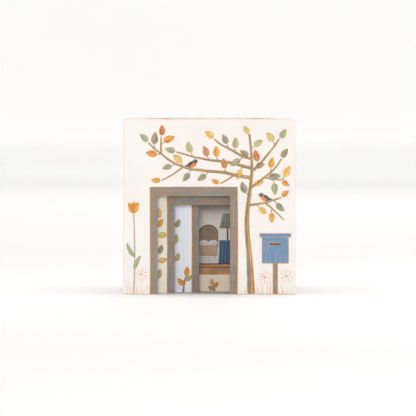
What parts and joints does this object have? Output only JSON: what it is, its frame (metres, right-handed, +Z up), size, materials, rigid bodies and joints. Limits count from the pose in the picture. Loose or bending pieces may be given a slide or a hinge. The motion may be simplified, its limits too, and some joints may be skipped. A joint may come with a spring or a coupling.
{
  "type": "nesting play box set",
  "caption": "Nest of square open-bottomed card play boxes with painted tree, doorways and a window that line up from the front.",
  "frame": {"origin": "on the table under the centre of the largest box", "axes": "+Z up, -Y out of the painted fronts towards the viewer, +X to the viewer's right"},
  "size_m": [0.14, 0.14, 0.142],
  "materials": {
    "greyboard": "raw cut board",
    "corner_tape": "matt kraft paper tape",
    "lining": "matt uncoated paper",
    "box_1_wrap": "matt printed paper",
    "box_2_wrap": "matt printed paper",
    "box_3_wrap": "matt printed paper",
    "box_4_wrap": "matt printed paper",
    "box_5_wrap": "matt printed paper"
  },
  "bodies": {
    "box_1": {"box_1_front_board": "greyboard", "box_1_back_board": "greyboard", "box_1_left_board": "greyboard", "box_1_right_board": "greyboard", "box_1_top_board": "greyboard", "box_1_tape_front_left": "corner_tape", "box_1_tape_front_right": "corner_tape", "box_1_tape_back_left": "corner_tape", "box_1_tape_back_right": "corner_tape", "box_1_wrap_paper": "box_1_wrap", "box_1_lining_paper": "lining"},
    "box_2": {"box_2_front_board": "greyboard", "box_2_back_board": "greyboard", "box_2_left_board": "greyboard", "box_2_right_board": "greyboard", "box_2_top_board": "greyboard", "box_2_tape_front_left": "corner_tape", "box_2_tape_front_right": "corner_tape", "box_2_tape_back_left": "corner_tape", "box_2_tape_back_right": "corner_tape", "box_2_wrap_paper": "box_2_wrap", "box_2_lining_paper": "lining"},
    "box_3": {"box_3_front_board": "greyboard", "box_3_back_board": "greyboard", "box_3_left_board": "greyboard", "box_3_right_board": "greyboard", "box_3_top_board": "greyboard", "box_3_tape_front_left": "corner_tape", "box_3_tape_front_right": "corner_tape", "box_3_tape_back_left": "corner_tape", "box_3_tape_back_right": "corner_tape", "box_3_wrap_paper": "box_3_wrap", "box_3_lining_paper": "lining"},
    "box_4": {"box_4_front_board": "greyboard", "box_4_back_board": "greyboard", "box_4_left_board": "greyboard", "box_4_right_board": "greyboard", "box_4_top_board": "greyboard", "box_4_tape_front_left": "corner_tape", "box_4_tape_front_right": "corner_tape", "box_4_tape_back_left": "corner_tape", "box_4_tape_back_right": "corner_tape", "box_4_wrap_paper": "box_4_wrap", "box_4_lining_paper": "lining"},
    "box_5": {"box_5_front_board": "greyboard", "box_5_back_board": "greyboard", "box_5_left_board": "greyboard", "box_5_right_board": "greyboard", "box_5_top_board": "greyboard", "box_5_tape_front_left": "corner_tape", "box_5_tape_front_right": "corner_tape", "box_5_tape_back_left": "corner_tape", "box_5_tape_back_right": "corner_tape", "box_5_wrap_paper": "box_5_wrap", "box_5_lining_paper": "lining"}
  },
  "joints": [
    {"name": "lift_box_4", "type": "slide", "parent": "box_5", "child": "box_4", "axis": [0, 0, 1], "range_m": [0, 0.08]},
    {"name": "lift_box_3", "type": "slide", "parent": "box_4", "child": "box_3", "axis": [0, 0, 1], "range_m": [0, 0.096]},
    {"name": "lift_box_2", "type": "slide", "parent": "box_3", "child": "box_2", "axis": [0, 0, 1], "range_m": [0, 0.113]},
    {"name": "lift_box_1", "type": "slide", "parent": "box_2", "child": "box_1", "axis": [0, 0, 1], "range_m": [0, 0.13]}
  ]
}
